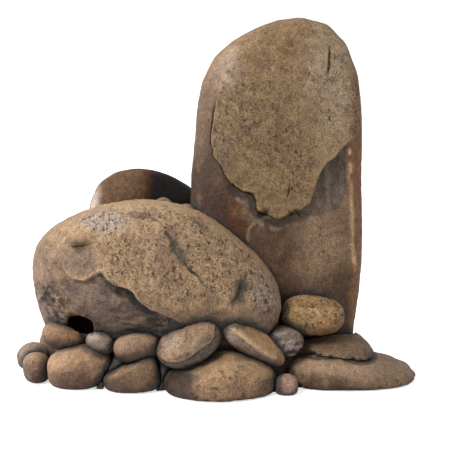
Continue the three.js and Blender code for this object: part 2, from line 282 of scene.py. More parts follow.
class Stone:
    """One stone being sculpted: its mesh, its points and normals, and the paint on it."""

    def __init__(self, name, voxel, rounds, hollow=False, finer=1, lines=None):
        self.name = name
        self.hollow = hollow
        low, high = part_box(name)
        self.low, self.high = np.array(low) * MM, np.array(high) * MM
        self.lines = {key: Trace(self, line, key in LOOPS) for key, line in (lines or {}).items()}
        self.obj = new_object("stone_" + name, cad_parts[name].data.copy())
        remesh = self.obj.modifiers.new("even", "REMESH")
        remesh.mode = "VOXEL"
        remesh.voxel_size = voxel / MM
        bake_modifiers(self.obj)
        set_coordinates(self.obj.data, relaxed(self.obj.data, coordinates(self.obj.data), rounds))
        if finer:
            self.obj.modifiers.new("finer", "SUBSURF").levels = finer
            bake_modifiers(self.obj)
        if hollow:
            self.thin_inside()
        self.refine(LINE_BAND)
        self.refresh()
        self.outer = 1.0 - self.shelter() if hollow else np.ones(len(self.points))
        self.front = smooth(0.05, 0.5, -self.normals[:, 1]) * self.outer
        self.rear = smooth(0.05, 0.5, self.normals[:, 1]) * self.outer
        self.gap = self.distance_to_others()
        self.paint = np.tile(linear(BROWN), (len(self.points), 1))
        self.marks = {key: np.zeros(len(self.points)) for key in ("pits", "dry", "wash", "sheen")}
        self.marks["crack"] = np.full(len(self.points), 9.0)
        self.height = np.zeros(len(self.points))

    def turn(self):
        """Turns the stone round, so that the next marks go on its other face."""
        self.front, self.rear = self.rear, self.front

    def refresh(self):
        self.points = coordinates(self.obj.data)
        self.normals = normals(self.obj.data)

    def shelter(self):
        """1 where a point looks at the stone's own far wall, inside its hollow, and 0 outside."""
        tree = tree_of([self.name])
        found = np.zeros(len(self.points))
        for i, (p, n) in enumerate(zip(self.points / MM, self.normals)):
            start = Vector(p) + Vector(n) * 0.002
            if tree.ray_cast(start, Vector(n), 0.3)[0] is not None:
                found[i] = 1.0
        return found

    def thin_inside(self):
        """Fewer faces inside the hollow, where there is no relief to hold."""
        self.refresh()
        inside = self.shelter()
        group = self.obj.vertex_groups.new(name="inside")
        group.add(np.nonzero(inside > 0.5)[0].tolist(), 1.0, "REPLACE")
        decimate = self.obj.modifiers.new("thin", "DECIMATE")
        decimate.ratio = 1.0 - 0.9 * float(inside.mean())
        decimate.vertex_group = group.name
        bake_modifiers(self.obj)
        self.obj.vertex_groups.clear()

    def distance_to_others(self):
        """How far each point is from the nearest other stone, up to NEIGHBOUR_REACH."""
        tree = tree_of([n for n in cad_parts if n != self.name])
        out = np.full(len(self.points), NEIGHBOUR_REACH)
        for i, p in enumerate(self.points / MM):
            found = tree.find_nearest(Vector(p), NEIGHBOUR_REACH / MM)
            if found[0] is not None:
                out[i] = found[3] * MM
        return out

    def shares(self):
        """Place across and up the front, each as a share of the stone's box."""
        return (self.points - self.low)[:, ::2].T / (self.high - self.low)[::2, None]

    def wobbled(self, amount, size, seed):
        """Place across and up in millimetres, shaken so that edges come out broken."""
        x = self.points[:, 0] + amount * rough(self.points, size, 3, seed)
        z = self.points[:, 2] + amount * rough(self.points, size, 3, seed + 50)
        return x, z

    def spot(self, across, up, wide, high, seed=0, soft=0.6):
        """A soft-edged patch on the front, with a ragged rim. Its place and radii are shares of the box."""
        u, w = self.shares()
        rim = np.hypot((u - across) / wide, (w - up) / high) + 0.35 * rough(self.points, 14.0, 4, seed + 70)
        return smooth(1.0 + soft / 2, 1.0 - soft, rim) * self.front

    def refine(self, reach):
        """Splits the faces near the lines, so that thin cracks and edges come out sharp."""
        if not self.lines:
            return
        points = coordinates(self.obj.data)
        facing = normals(self.obj.data)[:, 1]
        gap = np.full(len(points), FAR)
        for key, trace in self.lines.items():
            near = facing > 0.1 if key.startswith("back") else facing < -0.1
            gap[near] = np.minimum(gap[near], trace.measure(points[near, 0], points[near, 2])[0])
        bm = bmesh.new()
        bm.from_mesh(self.obj.data)
        edges = [e for e in bm.edges if gap[e.verts[0].index] < reach and gap[e.verts[1].index] < reach]
        bmesh.ops.subdivide_edges(bm, edges=edges, cuts=1, use_grid_fill=True)
        bm.to_mesh(self.obj.data)
        bm.free()

    def colour(self, paint, amount):
        """Lays a screen colour over the stone, by an amount from 0 to 1 at each point."""
        amount = np.clip(amount, 0.0, 1.0)[:, None]
        self.paint = self.paint * (1.0 - amount) + linear(paint) * amount

    def crack(self, distance):
        self.marks["crack"] = np.minimum(self.marks["crack"], distance)

    def finish(self, material):
        """Moves the surface out by its sculpted height, stores the paint and hands the piece to the frame."""
        mesh = self.obj.data
        self.points = self.points + self.normals * (self.height * self.outer)[:, None]
        self.points[:, 2] = np.maximum(self.points[:, 2], 0.0)
        set_coordinates(mesh, self.points)
        self.colour(SKIN, np.where(self.outer < 0.5, 1.0, 0.0))
        level = self.paint.mean(1)
        # Dry brushing hardly shows on dark paint, which has a faint grain instead.
        self.marks["dry"] *= smooth(0.02, 0.16, level)
        grain = rough(self.points, 2.2, 2, 77) * smooth(0.22, 0.08, level) * self.outer
        self.paint = self.paint * (1.0 + 0.2 * grain)[:, None]
        rgba = np.ones((len(self.points), 4), np.float32)
        rgba[:, :3] = np.clip(self.paint * PAINT_GAIN - PAINT_SHEEN, 0.004, 1.0)
        mesh.attributes.new("paint", "FLOAT_COLOR", "POINT").data.foreach_set("color", rgba.ravel())
        for key, values in self.marks.items():
            mesh.attributes.new(key, "FLOAT", "POINT").data.foreach_set("value", values.astype(np.float32))
        mesh.materials.clear()
        mesh.materials.append(material)
        mesh.polygons.foreach_set("use_smooth", np.ones(len(mesh.polygons), bool))
        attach(self.obj, "root")
        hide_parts(self.name)


# ---- Paint: one procedural material for all the stones ----


class Nodes:
    """A short way to write a shader tree."""

    def __init__(self, tree):
        self.tree = tree

    def add(self, kind, inputs=None, **settings):
        node = self.tree.nodes.new("ShaderNode" + kind)
        for key, value in settings.items():
            setattr(node, key, value)
        for key, value in (inputs or {}).items():
            if isinstance(value, bpy.types.NodeSocket):
                self.tree.links.new(value, node.inputs[key])
            else:
                node.inputs[key].default_value = value
        return node

    def math(self, operation, a, b=0.0, c=0.0, clamp=False):
        return self.add("Math", {0: a, 1: b, 2: c}, operation=operation, use_clamp=clamp).outputs[0]

    def ramp(self, value, low, high):
        """0 at low and 1 at high, with an S-curve between."""
        inputs = {"Value": value, "From Min": low, "From Max": high}
        return self.add("MapRange", inputs, interpolation_type="SMOOTHSTEP").outputs["Result"]

    def times(self, a, b):
        return self.math("MULTIPLY", a, b)

    def times_plus(self, a, b, c):
        return self.math("MULTIPLY_ADD", a, b, c)

    def mix(self, amount, a, b, blend="MIX"):
        return self.add("Mix", {0: amount, 6: a, 7: b}, data_type="RGBA", blend_type=blend).outputs[2]

    def noise(self, place, per_mm, detail=3.0, roughness=0.6):
        inputs = {"Vector": place, "Scale": per_mm * MM, "Detail": detail, "Roughness": roughness}
        return self.add("TexNoise", inputs).outputs["Fac"]

    def mark(self, name):
        return self.add("Attribute", attribute_name=name).outputs["Fac"]

    def paint(self):
        return self.add("Attribute", attribute_name="paint").outputs["Color"]

    def surface(self, look):
        self.add("OutputMaterial", {"Surface": self.add("BsdfPrincipled", look).outputs[0]})

    def moved(self, place, by):
        return self.add("VectorMath", {0: place, 1: (by, 2.0 * by, -by)}).outputs[0]

    def stretched(self, place, times, lean):
        """The same place in a space where patterns come out longer upwards, leaning by some degrees."""
        inputs = {"Vector": place, "Rotation": (0.0, math.radians(lean), 0.0), "Scale": (1.0, 1.0, times)}
        return self.add("Mapping", inputs, vector_type="TEXTURE").outputs[0]

    def pits(self, place, per_mm, size, ragged):
        """1 inside scattered pits. Their radius is a share of their spacing, and each has its own size."""
        cells = self.add("TexVoronoi", {"Vector": place, "Scale": per_mm * MM})
        own = self.add("SeparateColor", {0: cells.outputs["Color"]}).outputs[0]
        size = self.times(size, self.ramp(own, 0.2, 1.0))
        rim = self.math("SUBTRACT", size, self.math("ADD", cells.outputs["Distance"], ragged))
        return self.times(self.ramp(rim, -0.02, 0.1), self.ramp(size, 0.03, 0.12))


def new_material(name):
    """A new material with an empty shader tree."""
    material = bpy.data.materials.new(name)
    material.use_nodes = True
    material.node_tree.nodes.clear()
    return material, Nodes(material.node_tree)


def patterns(n, lean):
    """The patterns that the paint is made of. lean tilts the long pits to the right, in degrees."""
    place = n.add("TexCoord").outputs["Object"]
    shake = n.add("TexNoise", {"Vector": place, "Scale": 0.55 * MM, "Detail": 3.0}).outputs["Color"]
    shaken = n.add("VectorMath", {0: shake, 1: (0.0024,) * 3, 2: place}, operation="MULTIPLY_ADD").outputs[0]
    p = SimpleNamespace()
    p.broad = n.ramp(n.noise(place, 0.05, 4.0), 0.3, 0.7)
    p.mottle = n.ramp(n.noise(place, 0.24, 5.0, 0.7), 0.28, 0.72)
    p.grit = n.ramp(n.noise(place, 1.0, 5.0, 0.75), 0.34, 0.66)
    p.hue = n.ramp(n.noise(n.moved(place, 0.31), 0.33, 4.0, 0.65), 0.32, 0.68)
    p.streak = n.ramp(n.noise(n.stretched(shaken, 6.0, 0.0), 0.6, 4.0, 0.6), 0.3, 0.7)
    p.flecks = n.noise(place, 1.3, 2.0, 0.6)
    p.dark_flecks = n.ramp(n.noise(n.moved(place, 0.7), 1.2, 2.0, 0.6), 0.56, 0.68)

    # Pits of three sizes. They open where the mottling is dark and where the stone's own marks allow.
    marked = n.mark("pits")
    ragged = n.times(n.math("SUBTRACT", p.grit, 0.5), 0.16)
    clusters = n.ramp(n.noise(n.moved(place, 0.43), 0.11, 3.0), 0.38, 0.62)
    clusters = n.times_plus(clusters, 0.6, n.times(p.mottle, -0.5))
    crowded = n.math("ADD", marked, clusters)
    wide = n.times(n.ramp(crowded, 0.25, 1.15), marked)
    long_pit = n.pits(n.stretched(shaken, 1.9, lean), 0.46, n.times(wide, 0.5), ragged)
    round_pit = n.pits(shaken, 0.62, n.times(wide, 0.4), ragged)
    p.pit = n.math("MAXIMUM", long_pit, round_pit)
    p.speck = n.pits(n.moved(place, 0.17), 1.0, n.times_plus(marked, 0.34, 0.16), ragged)

    # Hair cracks run where a slow noise crosses its middle, and the sculpted cracks are painted in.
    vein = n.math("ABSOLUTE", n.math("SUBTRACT", n.noise(shaken, 0.3, 4.0, 0.6), 0.5))
    p.hair = n.times(n.ramp(vein, 0.022, 0.006), n.ramp(crowded, 0.5, 0.9))
    p.split = n.ramp(n.times_plus(p.grit, 0.5, n.mark("crack")), 1.0, 0.45)
    return p


def stone_colour(n, p, grain):
    """The stone's own paint, mottled, brushed with tan, washed with grey and dark in every pit."""
    paint, dry, wash = n.paint(), n.mark("dry"), n.mark("wash")
    colour = n.mix(p.broad, n.mix(1.0, paint, (0.87, 0.85, 0.87, 1), "MULTIPLY"), paint)
    tint = n.mix(p.hue, (1.07, 1.0, 0.84, 1), (0.96, 0.97, 1.0, 1))
    colour = n.mix(grain, colour, n.mix(1.0, colour, tint, "MULTIPLY"))
    tone = n.times_plus(p.mottle, 0.42, 0.81)
    tone = n.times(tone, n.times_plus(p.grit, 0.9 * grain, 1.0 - 0.42 * grain))
    tone = n.times(tone, n.times_plus(p.streak, 0.2, 0.9))
    colour = n.mix(1.0, colour, n.add("CombineColor", {0: tone, 1: tone, 2: tone}).outputs[0], "MULTIPLY")
    brush = n.times(n.ramp(n.times_plus(p.mottle, 0.12, p.flecks), 0.56, 0.68), dry)
    stain = n.times(n.ramp(n.times_plus(wash, 0.9, p.grit), 0.55, 1.35), wash)
    coats = (
        (brush, 0.5, TAN),
        (p.dark_flecks, 0.5 * grain, UMBER),
        (stain, 0.8, SLATE),
        (p.speck, 0.38, UMBER),
        (p.hair, 0.5, UMBER),
        (p.pit, 0.78, PIT),
        (p.split, 0.88, SOOT),
    )
    for where, amount, coat in coats:
        colour = n.mix(n.times(where, amount), colour, (*linear(coat), 1))
    return colour


def stone_bump(n, p, grain):
    """The fine relief that is too small to sculpt."""
    height = n.times_plus(p.grit, 0.26 * grain, n.times(p.mottle, 0.22))
    for where, depth in ((p.pit, 0.5), (p.speck, 0.2), (p.hair, 0.25), (p.split, 0.8)):
        height = n.times_plus(where, -depth, height)
    return n.add("Bump", {"Height": height, "Strength": 0.9, "Distance": 0.001}).outputs[0]


def stone_material(name, grain=1.0, lean=0.0, shine=0.45):
    """Matt paint with mottling, pits, flecks and washes. grain is how strong the grit shows."""
    material, n = new_material(name)
    p = patterns(n, lean)
    gloss = n.times_plus(n.mark("sheen"), -0.2, 0.66)
    gloss = n.math("MULTIPLY_ADD", n.math("ADD", p.pit, p.split), 0.2, gloss, clamp=True)
    look = {"Base Color": stone_colour(n, p, grain), "Roughness": gloss, "Normal": stone_bump(n, p, grain)}
    n.surface({**look, "Specular IOR Level": shine})
    return material


# ---- Sculpting ----


def weather(stone, lumps, grit, dents, seed):
    """Relief that every stone has: slow lumps, dents and a gritty skin."""
    p = stone.points
    flat = 0.35 + 0.65 * smooth(0.1, 0.6, np.abs(stone.normals[:, 1])) if stone.hollow else 1.0
    relief = 0.45 * lumps * flat * rough(p, 11.0, 3, seed + 3) + grit * rough(p, 3.4, 3, seed + 5)
    gap, owner = pocks(p, 4.6, seed + 9)
    where = (owner > 0.6) * smooth(-0.1, 0.5, noise(p, 17.0, seed + 11))
    relief -= dents * smooth(0.42, 0.05, gap) * where
    stone.relief = relief
    stone.height += relief + lumps * flat * rough(p, 34.0, 2, seed)


def pitted(stone, where, cell=(3.2, 3.2, 4.6), depth=0.9, share=0.5, tilt=0.0, seed=0):
    """Small holes, longer than wide, where the mask is strong. tilt leans them to the right, in degrees."""
    turn = math.radians(tilt)
    x, y, z = stone.points.T
    along = z * math.cos(turn) + x * math.sin(turn)
    across = x * math.cos(turn) - z * math.sin(turn)
    gap, owner = pocks(np.stack([across / cell[0], y / cell[1], along / cell[2]], 1), 1.0, seed)
    gap = gap + 0.3 * rough(stone.points, 2.6, 3, seed + 3)
    size = 0.2 + 0.22 * owner
    chance = (owner * 977.0) % 1.0
    hole = smooth(size, size * 0.35, gap) * (chance < share * where)
    stone.height -= depth * hole
    stone.colour(PIT, hole * 0.55)


def groove(stone, key, width, depth, seed=0, ends=0.12, wobble=0.7, slit=1.0, until=1.0):
    """A crack along a line. It is deepest along its middle and dies out towards its ends."""
    gap, share, _ = stone.lines[key].measure(*stone.wobbled(wobble, 7.0, seed))
    strength = smooth(0.0, ends, share) * smooth(until, until - ends, share) * stone.front
    stone.height -= depth * strength * band(gap, 0.0, width**2)
    if slit:
        stone.crack(gap / (width * slit * np.maximum(strength, 0.01)) * 0.55)
    return smooth(3.5 * width, 0.6 * width, gap) * strength


def edge(stone, key, drop, reach, seed=0, wobble=0.9, soft=0.45):
    """A broken edge along a line: the ground to its right drops away, and climbs back over its reach.

    Gives back the distance to the line, negative on the low side, the share along it, and the low ground.
    """
    gap, share, side = stone.lines[key].measure(*stone.wobbled(wobble, 7.0, seed))
    level = np.interp(share, np.linspace(0.0, 1.0, len(drop)), drop)
    signed = gap * side
    below = smooth(soft, -soft, signed)
    stone.height -= level * below * np.exp(-np.maximum(-signed, 0.0) / reach) * stone.front
    stone.height += 0.25 * level * band(signed, 1.2, 1.6) * stone.front
    return signed, share, below * stone.front


def relief_paint(stone, light=OCHRE, dark=UMBER, amount=0.35):
    """Paint rubbed off on the high ground and left dark in the low."""
    stone.colour(light, smooth(0.05, 0.5, stone.relief) * amount)
    stone.colour(dark, smooth(-0.02, -0.55, stone.relief) * amount * 1.3)


def base_coat(stone, top, side, low, strength, seed):
    """Brown all over, lighter on what faces up as painted light, and darker and redder below as painted
    shade.
    """
    p, up = stone.points, stone.normals[:, 2]
    drift = 0.35 * rough(p, 16.0, 3, seed + 21)
    stone.paint[:] = linear(side)
    # Painted shade on what faces down, and painted light on what faces up.
    stone.colour(low, smooth(0.1, -0.7, up + drift) * 0.8)
    stone.colour(top, smooth(-0.35, 0.65, up + drift) * strength)
    stone.colour(MAUVE, smooth(0.25, 0.9, noise(p, 21.0, seed + 25)) * 0.35)
    stone.marks["dry"] = np.clip(0.5 + 0.5 * up, 0.0, 1.0)
    stone.marks["sheen"] = np.full(len(p), 0.5)


def crevice_coat(stone, seed=0, reach=6.0, wash=0.7):
    """Grey wash where a stone meets its neighbours, and darker paint there that is partly grime in the joint
    and partly painted shade.
    """
    p = stone.points
    near = stone.gap + 2.0 * noise(p, 6.0, seed + 29)
    stone.marks["wash"] = np.maximum(stone.marks["wash"], smooth(reach + 2.0, 2.5, near) * wash)
    # Painted shade mixed with grime close to the neighbours.
    stone.colour(JOINT, smooth(reach, 0.8, stone.gap + 1.5 * noise(p, 5.0, seed + 27)) * 0.8)


# ---- The big stones ----

LOOPS = ("patch", "ledge")  # the lines that close on themselves

# Lines over each stone, as (across, up) shares of its box. Those that start with back are on its rear face.
PLATE_CORNER = [(0.69, 0.50), (0.72, 0.54), (0.74, 0.57), (0.79, 0.61), (0.83, 0.62)]

UPRIGHT_LINES = {
    "plate": [
        (0.17, 0.81), (0.14, 0.74), (0.12, 0.67), (0.14, 0.63), (0.17, 0.60), (0.21, 0.57),
        (0.24, 0.55), (0.30, 0.53), (0.36, 0.52), (0.38, 0.49), (0.40, 0.47), (0.45, 0.46),
        (0.51, 0.45), (0.59, 0.47), (0.63, 0.47), (0.67, 0.48), *PLATE_CORNER, (0.89, 0.65),
    ],
    "patch": [
        (0.895, 0.655), (0.90, 0.58), (0.91, 0.53), (0.88, 0.49), (0.82, 0.47), (0.72, 0.46),
        (0.65, 0.45), (0.62, 0.47), *PLATE_CORNER,
    ],
    "lip": [(0.40, 0.455), (0.36, 0.435), (0.335, 0.42), (0.325, 0.40), (0.34, 0.37), (0.38, 0.34)],
    "top_crack": [(0.79, 0.94), (0.79, 0.89), (0.78, 0.84)],
    "small_crack": [(0.57, 0.56), (0.565, 0.53), (0.56, 0.50)],
    "ridge": [(0.92, 0.64), (0.93, 0.50), (0.93, 0.38), (0.95, 0.29)],
    "back_edge": [
        (0.04, 0.66), (0.13, 0.63), (0.19, 0.55), (0.38, 0.52), (0.46, 0.43), (0.66, 0.44),
        (0.78, 0.36), (0.95, 0.40),
    ],
    "back_crack": [(0.64, 0.88), (0.61, 0.80), (0.62, 0.74), (0.58, 0.68)],
}

CAVE_LINES = {
    "edge": [
        (0.07, 0.71), (0.09, 0.68), (0.11, 0.68), (0.14, 0.65), (0.16, 0.62), (0.19, 0.60),
        (0.23, 0.60), (0.26, 0.63), (0.29, 0.65), (0.32, 0.62), (0.36, 0.58), (0.41, 0.56),
        (0.45, 0.49), (0.48, 0.46), (0.56, 0.41), (0.59, 0.39),
    ],
    "ledge": [
        (0.14, 0.79), (0.15, 0.82), (0.17, 0.835), (0.21, 0.85), (0.25, 0.845), (0.27, 0.82),
        (0.26, 0.80), (0.21, 0.785), (0.16, 0.78),
    ],
    "slit": [(0.135, 0.785), (0.16, 0.775), (0.21, 0.785), (0.27, 0.805)],
    "crest": [(0.36, 0.96), (0.43, 0.95), (0.50, 0.94), (0.53, 0.92)],
    "crest_right": [(0.62, 0.94), (0.68, 0.91), (0.69, 0.88), (0.70, 0.84)],
    "diagonal": [
        (0.54, 0.89), (0.58, 0.82), (0.59, 0.79), (0.61, 0.74), (0.64, 0.69), (0.67, 0.66),
        (0.70, 0.58),
    ],
    "recess": [(0.865, 0.66), (0.84, 0.60), (0.825, 0.54), (0.80, 0.46)],
    "back_edge": [(0.01, 0.52), (0.08, 0.58), (0.17, 0.56), (0.22, 0.46), (0.33, 0.43)],
    "back_crack": [(0.14, 0.86), (0.17, 0.78), (0.15, 0.70)],
}

REAR_LINES = {
    "back_edge": [
        (0.03, 0.62), (0.14, 0.70), (0.34, 0.69), (0.43, 0.60), (0.52, 0.59), (0.60, 0.68),
        (0.82, 0.66), (0.96, 0.58),
    ],
    "back_crack": [(0.40, 0.93), (0.44, 0.86), (0.42, 0.80), (0.46, 0.75)],
}


def back_marks(stone, seed):
    """A broken edge, a crack and worn paint on the rear face, which the photograph doesn't show."""
    stone.turn()
    signed, _, below = edge(stone, "back_edge", (0.4, 1.8, 1.0, 2.2, 0.8, 1.6, 0.3), 18.0, seed, 1.6)
    stone.colour((104, 84, 70), below * smooth(-40.0, -14.0, signed) * 0.75)
    # Painted shade just under the broken edge.
    stone.colour((66, 50, 41), below * np.exp(signed / 2.0) * 0.85)
    groove(stone, "back_crack", 0.8, 1.0, seed + 1, 0.4)
    worn = stone.spot(0.3, 0.8, 0.22, 0.12, seed + 2, 0.9) + stone.spot(0.7, 0.62, 0.2, 0.14, seed + 3, 0.9)
    stone.colour((166, 146, 126), worn * 0.4)
    stone.marks["pits"] = np.clip(stone.marks["pits"] + 0.5 * worn + 0.25 * stone.front, 0, 1)
    stone.turn()


def upright_plate(stone):
    """The thick plate with the broken edge and the lower ground at its left, with a painted highlight along
    the edge and painted shadow under it.
    """
    u, w = stone.shares()
    drops = (0.0, 0.8, 1.6, 2.6, 3.2, 2.2, 1.2, 1.2, 1.8, 2.4, 1.6)
    signed, share, below = edge(stone, "plate", drops, 20.0, 11)
    plate = smooth(-0.4, 0.4, signed) * stone.front
    stone.colour((149, 124, 91), plate * 0.8)
    stone.colour((124, 94, 60), stone.spot(0.55, 0.95, 0.4, 0.1, 8, 0.9) * 0.7)
    pale_side = smooth(0.62, 0.85, u + 0.05 * noise(stone.points, 20.0, 10))
    stone.colour((172, 147, 120), plate * pale_side * 0.75)
    strip = smooth(0.2, 0.08, u + 0.03 * noise(stone.points, 20.0, 9)) * smooth(0.9, 0.75, w) * (1.0 - plate)
    stone.colour((108, 88, 73), strip * 0.9)
    stone.colour((66, 50, 38), strip * smooth(0.7, 0.52, w) * 0.9)
    # Painted highlight along the plate's broken edge.
    rim = band(signed, 0.9, 1.2) * stone.front
    stone.colour((156, 130, 94), rim * smooth(0.3, 0.5, share) * 0.5)
    # Painted shadow under the plate's edge.
    stone.colour((66, 48, 38), below * np.exp(signed / 2.4) * 0.85 * smooth(0.08, 0.3, share))
    groove(stone, "plate", 0.7, 0.8, 11, 0.1, until=0.62)
    stone.colour((118, 98, 84), stone.spot(0.2, 0.62, 0.07, 0.09, 7, 0.9) * plate * 0.7)
    return plate, signed, share


def upright_block(stone, plate):
    """The block under the plate, raised above the hollow at its left, with a painted highlight on its lip.
    Returns where its paint is worn.
    """
    u, w = stone.shares()
    ground = 1.0 - plate
    raised = stone.spot(0.55, 0.2, 0.62, 0.25, 13, 0.3) * ground
    stone.colour((98, 74, 60), raised * 0.9)
    stone.colour((70, 53, 43), raised * smooth(0.3, 0.14, w) * 0.75)
    worn = stone.spot(0.78, 0.385, 0.19, 0.12, 14, 0.8) * ground
    stone.colour((158, 132, 108), worn * 0.9)
    signed, share, _ = edge(stone, "lip", (0.4, 1.6, 2.6, 2.6, 1.4, 0.4), 14.0, 12, 0.6)
    # Painted highlight along the block's lip.
    rim = band(signed, 1.0, 1.5) * stone.front
    stone.colour((150, 118, 98), rim * 0.8 * smooth(0.75, 0.5, share))
    hollow = smooth(0.34, 0.24, u + 0.03 * noise(stone.points, 12.0, 15)) * smooth(0.66, 0.5, w) * ground
    stone.colour((78, 58, 47), hollow * 0.9)
    stone.colour((106, 62, 42), stone.spot(0.27, 0.45, 0.08, 0.07, 16, 0.8) * hollow * 0.85)
    grey = stone.spot(0.36, 0.47, 0.08, 0.05, 6, 0.9) * ground
    stone.colour((132, 120, 112), grey * smooth(-0.1, 0.4, noise(stone.points, 2.6, 5)) * 0.75)
    return worn


def upright_side(stone):
    """The sunk grey patch at the right, and the brown side strip with its rubbed ridge."""
    u, w = stone.shares()
    inside = stone.lines["patch"].inside(*stone.wobbled(0.7, 6.0, 17))
    patch = smooth(-0.5, 0.5, inside) * stone.front
    stone.height -= 1.6 * smooth(-0.5, 0.8, inside) * stone.front
    stone.colour((114, 102, 93), patch * 0.95)
    streaks = rough(stone.points * (1.0, 1.0, 0.25), 3.6, 3, 28)
    stone.colour((66, 60, 56), patch * smooth(0.0, 0.5, streaks) * 0.55)
    stone.colour((62, 58, 56), patch * smooth(4.0, 0.5, inside) * smooth(0.75, 0.65, u) * 0.6)
    ridge = stone.lines["ridge"].measure(*stone.wobbled(0.8, 9.0, 18))[0]
    stone.height += 0.7 * band(ridge, 0.0, 3.2**2) * stone.front
    side = smooth(0.90, 0.955, u + 0.012 * noise(stone.points, 9.0, 29)) * smooth(0.98, 0.8, w) * stone.front
    stone.colour((150, 104, 64), side * 0.9)
    stone.marks["pits"] += 0.5 * side
    broken = smooth(-0.5, 0.3, noise(stone.points, 6.0, 30))
    stone.colour((224, 188, 150), band(ridge, 0.0, 1.4**2) * stone.front * broken * 0.9)


def upright_under_plate_shadow(stone, signed, share):
    """The painted shadow under the plate's lowest part, with a broken pale rim and four small holes."""
    # Painted shadow under the plate's lowest part.
    gap = band(signed, -3.4, 2.6**2) * stone.front
    stone.colour((58, 54, 52), gap * smooth(0.3, 0.42, share) * smooth(0.85, 0.62, share) * 0.85)
    rim = band(signed, -6.6, 1.6**2) * stone.front
    rim = rim * smooth(0.36, 0.45, share) * smooth(0.8, 0.7, share)
    stone.colour((164, 148, 138), rim * smooth(-0.1, 0.5, noise(stone.points, 3.2, 31)) * 0.75)
    for at in ((0.44, 0.468), (0.41, 0.462), (0.61, 0.472), (0.58, 0.466)):
        hole = stone.spot(*at, 0.02, 0.01, 24, 0.9)
        stone.height -= 1.6 * hole
        stone.colour(SOOT, hole * 0.95)


def upright_stone(material):
    stone = Stone("upright_stone", 2.2, 130, hollow=True, lines=UPRIGHT_LINES)
    weather(stone, 0.8, 0.16, 0.3, 1)
    base_coat(stone, (142, 114, 82), (124, 100, 78), (104, 82, 68), 0.55, 1)
    plate, signed, share = upright_plate(stone)
    worn = upright_block(stone, plate)
    upright_side(stone)
    pale = stone.spot(0.76, 0.86, 0.15, 0.12, 19, 0.8) + stone.spot(0.86, 0.76, 0.1, 0.1, 20, 0.8)
    stone.colour((184, 162, 138), np.clip(pale, 0, 1) * 0.65)
    # Painted highlight at the upper left.
    stone.colour((178, 158, 144), stone.spot(0.2, 0.88, 0.1, 0.07, 21, 1.0) * 0.6)
    groove(stone, "top_crack", 0.8, 1.0, 22, 0.4)
    groove(stone, "small_crack", 0.6, 0.5, 23, 0.45)
    upright_under_plate_shadow(stone, signed, share)
    stone.marks["dry"] *= 0.65 + 0.35 * plate
    speckled = stone.spot(0.35, 0.72, 0.3, 0.16, 25, 0.9) + stone.spot(0.6, 0.6, 0.14, 0.1, 26, 0.9)
    stone.marks["pits"] += plate * 0.5 + pale * 0.2 + 0.4 * np.clip(speckled, 0, 1) + 0.7 * worn
    pitted(stone, speckled + 0.3 * plate, (2.6, 2.6, 2.8), 0.35, 0.4, 0, 27)
    back_marks(stone, 90)
    relief_paint(stone, OCHRE, UMBER, 0.3)
    crevice_coat(stone, 1, 5.0, 0.5)
    stone.finish(material)


def cave_shelf(stone):
    """A shelf and a flake, with the grey ground below them sunk, painted shadow under the flake and painted
    light along their edge. Returns the distance to their edge.
    """
    u, w = stone.shares()
    drops = (0.6, 1.6, 2.4, 2.4, 1.6, 1.4, 3.2, 3.4, 3.2, 2.6, 1.6)
    signed, share, below = edge(stone, "edge", drops, 26.0, 31)
    left_side = smooth(0.19, 0.1, u + 0.03 * noise(stone.points, 12.0, 39)) * smooth(0.42, 0.52, w)
    stone.colour((110, 94, 87), below * smooth(-50.0, -30.0, signed) * 0.92 * (1.0 - 0.85 * left_side))
    wrinkles = rough(stone.points * (0.4, 1.0, 1.3), 3.0, 2, 40)
    stone.height += 0.5 * wrinkles * below * smooth(0.3, 0.5, u + w * 0.2)
    stone.colour((74, 61, 55), below * smooth(0.1, -0.6, wrinkles) * 0.5)
    stone.colour((132, 114, 104), below * smooth(0.15, 0.6, wrinkles) * 0.4)
    stone.colour((92, 92, 92), below * smooth(-14.0, -1.0, signed) * smooth(0.4, 0.5, share) * 0.6)
    # Painted shadow below the edge, wider and darker along the flake.
    thick = smooth(0.42, 0.6, share) * smooth(0.95, 0.8, share)
    shadow = below * smooth(-3.5 - 4.5 * thick, -1.0 - 2.8 * thick, signed)
    stone.colour((42, 33, 28), shadow * (0.45 + 0.5 * thick))
    # Painted light along the lip of the edge, left off along the flake.
    crest = band(signed, 1.0, 1.4) * stone.front
    stone.colour((162, 134, 100), crest * 0.45 * (1.0 - thick))
    disc = stone.spot(0.2, 0.70, 0.1, 0.09, 32, 0.4) * smooth(-0.5, 0.5, signed)
    stone.colour((124, 105, 92), disc * 0.9)
    stone.height -= 0.9 * disc
    # Painted highlight along the edge over the disc.
    rim = band(signed, 1.3, 1.5) * stone.front * smooth(0.2, 0.3, share) * smooth(0.62, 0.5, share)
    stone.colour((178, 152, 122), rim * 0.7)
    return signed


def cave_ledge(stone):
    """The small ledge at the top left, with the slit under it and painted shadow along the slit."""
    inside = stone.lines["ledge"].inside(*stone.wobbled(0.4, 7.0, 33))
    bulge = smooth(-1.2, 2.4, inside) * stone.front
    stone.height += 2.2 * bulge
    stone.colour((156, 128, 98), bulge * 0.7)
    # The slit is sculpted; its darkening is painted shadow under the ledge.
    painted_slit_shadow = groove(stone, "slit", 1.5, 1.5, 34, 0.5, 0.4, 0.3)
    stone.colour((70, 52, 42), painted_slit_shadow * 0.75)


